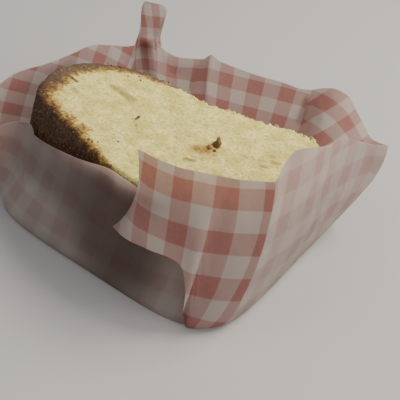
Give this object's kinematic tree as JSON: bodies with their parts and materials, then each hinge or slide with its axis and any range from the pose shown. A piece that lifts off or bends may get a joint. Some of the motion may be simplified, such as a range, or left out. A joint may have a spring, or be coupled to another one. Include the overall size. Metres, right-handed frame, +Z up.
{
  "type": "pound cake slice",
  "caption": "Thick slice of pound cake lying on its cut face, with dark crust round it, in a folded sheet of checked greaseproof paper with one lapped flap and a pinched corner.",
  "frame": {"origin": "on the table, under the middle of the whole part seen from above", "axes": "+X along the slice's length towards its right end, -Y towards the near side, where the paper's flap laps over, +Z up from the table"},
  "size_m": [0.1306, 0.1198, 0.0635],
  "materials": {
    "cake_crumb": "matte",
    "greaseproof_paper": "satin"
  },
  "bodies": {
    "root": {"cake_slice": "cake_crumb", "paper_wrap": "greaseproof_paper"}
  },
  "joints": []
}
